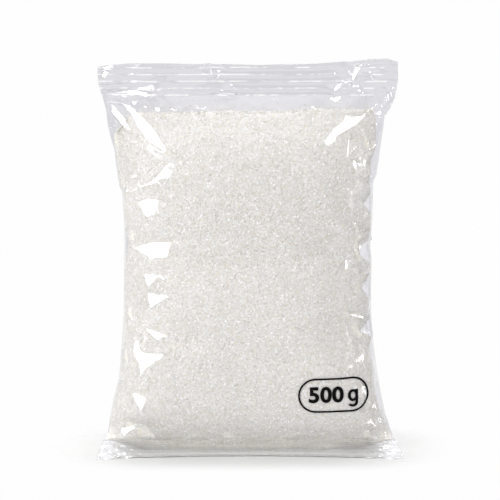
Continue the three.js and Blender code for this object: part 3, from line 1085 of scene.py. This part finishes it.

# %% [markdown]
# ## Painted highlights on the rib crests
# Along the crest of each rib a highlight is painted into the film's colour as a white line. Light alone would
# draw these lines in one view only, so they are part of the film's colour: a wave of the ribs' pitch, cut off
# sharply, broken up by the same noise as the wrinkles, and scarcer to the right.

# %% Painted crest highlights, and the film's surface
WAVE_START = -2 * math.pi * (SEAL_FOOT - 0.1) / RIB_PITCH
wave = add_math(add, "MULTIPLY_ADD", parts["Z"], 2 * math.pi / (RIB_PITCH * MM), WAVE_START)
crest_highlight = add_ramp(add, add_math(add, "COSINE", wave), 0.68, 0.95, smooth=True)
fewer = add_ramp(add, parts["X"], -0.01, 0.02, 0, -0.06)
broken = add_ramp(add, add_math(add, "ADD", fewer, broad), 0.42, 0.56)
in_seal = add_math(add, "GREATER_THAN", parts["Z"], (SEAL_FOOT - 1) * MM)
# white lines on the rib crests: painted highlights
painted_rib_highlights = add_math(add, "MULTIPLY", add_math(add, "MULTIPLY", crest_highlight, broken), in_seal)
film_colour_with_painted_light = add("MixRGB", {0: painted_rib_highlights, 1: tint, 2: PAINTED_LIGHT_WHITE})
film = add("BsdfPrincipled", {
    "Base Color": film_colour_with_painted_light, "Roughness": 0.03, "IOR": 1.5, "Transmission Weight": 1, "Normal": bump,
})
path = add("LightPath").outputs
lighting = add_math(add, "MAXIMUM", path["Is Shadow Ray"], path["Is Diffuse Ray"])
deep = add_math(add, "GREATER_THAN", path["Ray Depth"], CLEAR_AFTER)
plain = add_math(add, "MAXIMUM", lighting, deep)
mix = add("MixShader", {0: plain, 1: film, 2: add("BsdfTransparent")})
add("OutputMaterial", {"Surface": mix})
for sheet in (film_front, film_back):
    sheet.data.materials.append(film_material)
print("clear film:", len(film_material.node_tree.nodes), "nodes")

# %% [markdown]
# ## White sugar
# White sugar is a heap of clear crystals. Single ones look grey, white or faintly warm, and a few flash. Real
# refraction in thousands of crystals would be slow and noisy, so each gets one tone: a Voronoi texture with
# cells of crystal size picks it by chance, and the flash of the few is a painted glint, a near-white tone.
# The core and the loose crystals share this as a node group.


# %% Sugar tint with painted glints, shared by the core and the loose crystals
def sugar_group():
    group = bpy.data.node_groups.new("sugar tint", "ShaderNodeTree")
    sockets = [
        ("Vector", "INPUT", "Vector"), ("Warm Share", "INPUT", "Float"),
        ("Color", "OUTPUT", "Color"), ("Height", "OUTPUT", "Float"),
    ]
    for name, way, kind in sockets:
        group.interface.new_socket(name, in_out=way, socket_type="NodeSocket" + kind)
    entry, leave = group.nodes.new("NodeGroupInput"), group.nodes.new("NodeGroupOutput")
    add = partial(add_node, group)
    place = entry.outputs["Vector"]
    grains = add("TexVoronoi", {"Vector": place, "Scale": 1650})
    patches = add("TexNoise", {"Vector": place, "Scale": 75, "Detail": 3})
    chances = add("SeparateColor", {"Color": grains.outputs["Color"]}).outputs
    white = add("MixRGB", {0: chances["Red"], 1: (0.685, 0.665, 0.613, 1), 2: (0.862, 0.849, 0.81, 1)})
    warm = add_math(add, "LESS_THAN", chances["Green"], entry.outputs["Warm Share"])
    specks = add("MixRGB", {0: warm, 1: white, 2: (0.76, 0.7, 0.58, 1)})
    # a few cells get a near-white tone: painted glints
    painted_glint_cells = add_math(add, "GREATER_THAN", chances["Blue"], 0.965)
    tones_with_painted_glints = add("MixRGB", {0: painted_glint_cells, 1: specks, 2: (1, 1, 0.985, 1)})
    unevenness = add_ramp(add, patches, 0.3, 0.7, 0.95, 1)
    shade = add("MixRGB", {0: 1, 1: tones_with_painted_glints, 2: unevenness}, blend_type="MULTIPLY")
    group.links.new(shade.outputs[0], leave.inputs["Color"])
    group.links.new(grains.outputs["Distance"], leave.inputs["Height"])
    return group


sugar_tint = sugar_group()
WARM_SHARE = 0.09


def sugar_material(name, roughness, bump_depth):
    material, add, place = new_material(name)
    tint = add("Group", {"Vector": place, "Warm Share": WARM_SHARE}, node_tree=sugar_tint).outputs
    skin = {"Base Color": tint["Color"], "Roughness": roughness, "IOR": 1.54}
    if bump_depth:
        skin["Normal"] = add("Bump", {"Distance": bump_depth * MM, "Height": tint["Height"]}, invert=True)
    add("OutputMaterial", {"Surface": add("BsdfPrincipled", skin)})
    return material


sugar.data.materials.append(sugar_material("packed sugar", 0.5, 0.04))
crystal_material = sugar_material("sugar crystals", 0.15, 0)
for piece in crystals:
    piece.data.materials.append(crystal_material)
print("sugar tint:", len(sugar_tint.nodes), "nodes")

# %% [markdown]
# ## Black ink
# Ink on film is matt, very dark and not quite even. A flat black would do from afar, and a little noise
# between two blacks gives it the grain of print close up.

# %% Black print
ink, add, place = new_material("black ink")
mottle = add("TexNoise", {"Vector": place, "Scale": 2500})
tones = add("MixRGB", {0: mottle, 1: (0.0015, 0.0015, 0.0015, 1), 2: (0.005, 0.005, 0.0052, 1)})
skin = add("BsdfPrincipled", {"Base Color": tones, "Roughness": 0.5, "Specular IOR Level": 0.05})
add("OutputMaterial", {"Surface": skin})
mark.data.materials.append(ink)
print("black ink:", len(ink.node_tree.nodes), "nodes")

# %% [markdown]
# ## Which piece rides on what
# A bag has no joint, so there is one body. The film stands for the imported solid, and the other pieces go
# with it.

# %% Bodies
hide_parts("sugar_bag")
slots = [(film_front, "film"), (film_back, "film"), (sugar, "sugar"), (mark, "print")]
for piece, slot in slots + [(piece, "sugar") for piece in crystals]:
    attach(piece, "root")
print(len(slots) + len(crystals), "pieces")

# %% [markdown]
# ## The studio
# The bag stands on a pale floor before a white ground, as on a sweep of paper. A plain white floor under
# these lamps would turn grey far from the bag. So the floor is lit and shaded only near the bag, where the
# contact shadow lies, and glows evenly further out. Near the bag it also glows faintly, which lightens the
# shadow, and where the glow takes over sets how far the shadow reaches: its fading edge is painted. Light
# that it throws back onto the sugar is dimmed a little. The surround is white for the camera, and dimmer in
# front than behind for what the film mirrors.

# %% Floor
NEAR_X = 0.045  # metres; beyond this the distance from the bag is counted
# the contact shadow fades out between these distances because the glow takes over: a painted edge of the
# shadow
SHADED, GLOWING = 0.029, 0.052  # distances in metres between which the floor begins to glow
nothing_selected()
bpy.ops.mesh.primitive_plane_add(size=8)
floor = bpy.context.object
floor.name = "floor"
floor_material, add, place = new_material("pale floor")
either_way = add("VectorMath", {0: place}, operation="ABSOLUTE")
beyond = add("VectorMath", {0: either_way, 1: (NEAR_X, 0, 0)}, operation="SUBTRACT")
outside = add("VectorMath", {0: beyond}, operation="MAXIMUM")
distance = add("VectorMath", {0: outside}, operation="LENGTH").outputs["Value"]
# near the bag the paper glows faintly, which lightens its contact shadow
paper = add("BsdfPrincipled", {
    "Base Color": (0.45, 0.45, 0.45, 1), "Roughness": 0.8,
    "Emission Color": (1, 1, 1, 1), "Emission Strength": 0.24,
})
glow = add("Emission", {"Color": (1, 1, 1, 1), "Strength": 0.99})
mix = add("MixShader", {0: add_ramp(add, distance, SHADED, GLOWING, smooth=True), 1: paper, 2: glow})
dimming = add_math(add, "MULTIPLY", add("LightPath").outputs["Is Diffuse Ray"], 0.08)
dark = add("BsdfDiffuse", {"Color": (0.05, 0.05, 0.05, 1)})
add("OutputMaterial", {"Surface": add("MixShader", {0: dimming, 1: mix, 2: dark})})
floor.data.materials.append(floor_material)
print("floor:", len(floor_material.node_tree.nodes), "nodes")

# %% Surround
world = bpy.data.worlds.new("studio")
bpy.context.scene.world = world
world.use_nodes = True
world.node_tree.nodes.clear()
add = partial(add_node, world.node_tree)
parts = add("SeparateXYZ", {0: add("TexCoord").outputs["Generated"]}).outputs
behind = add_ramp(add, parts["Y"], -0.3, 0.5, 0.52, 0.95, smooth=True)
overhead = add_ramp(add, parts["Z"], 0.2, 1, 0, 1.2, smooth=True)
around = add("Background", {"Strength": add_math(add, "ADD", behind, overhead)})
seen = add("Background", {"Color": (0.99, 0.99, 0.99, 1)})
mix = add("MixShader", {0: add("LightPath").outputs["Is Camera Ray"], 1: around, 2: seen})
add("OutputWorld", {"Surface": mix})
print("surround:", len(world.node_tree.nodes), "nodes")


# %% Lamps and camera
RIM, RIM_GAIN = 0.4, 1.15  # share of a lamp's width that fades, and what makes up for it
VIEW_WIDTH = 226.6  # millimetres across the picture at the bag


def put_up(name, data, place, away):
    """a lamp or camera at a place, with its back turned to the direction away"""
    holder = bpy.data.objects.new(name, data)
    holder.location = place
    holder.rotation_euler = away.to_track_quat("Z", "Y").to_euler()
    bpy.context.scene.collection.objects.link(holder)
    return holder


def soft_lamp(name, direction, size, radiance, missed_by=()):
    """a rectangular lamp that looks at the bag and fades towards its rim"""
    lamp = bpy.data.lights.new(name, "AREA")
    lamp.shape = "RECTANGLE"
    lamp.size, lamp.size_y = size
    lamp.energy = radiance * math.pi * size[0] * size[1]
    lamp.use_nodes = True
    add = partial(add_node, lamp.node_tree)
    parts = add("SeparateXYZ", {0: add("NewGeometry").outputs["Parametric"]}).outputs
    inwards = [add_math(add, "PINGPONG", parts[axis], 0.5) for axis in "XY"]
    fades = [add_ramp(add, value, 0, RIM, 0, RIM_GAIN, smooth=True) for value in inwards]
    shade = add_math(add, "MULTIPLY", *fades)
    lamp.node_tree.links.new(shade.outputs[0], lamp.node_tree.nodes["Emission"].inputs["Strength"])
    away = towards_lamp(*direction)
    holder = put_up(name, lamp, LAMP_AIM * MM + away * LAMP_DISTANCE, away)
    for rays in missed_by:
        setattr(holder, "visible_" + rays, False)


for name, lamp in LAMPS.items():
    soft_lamp(name, *lamp)
camera = bpy.data.cameras.new("camera")
camera.sensor_width = 36
camera.lens = camera.sensor_width * CAMERA_DISTANCE / (VIEW_WIDTH * MM)
bpy.context.scene.camera = put_up("camera", camera, camera_place * MM, CAMERA_BACK)
bpy.context.scene.view_settings.view_transform = "Standard"
bpy.context.scene.view_settings.look = "None"
print("lens in mm:", round(camera.lens, 1))
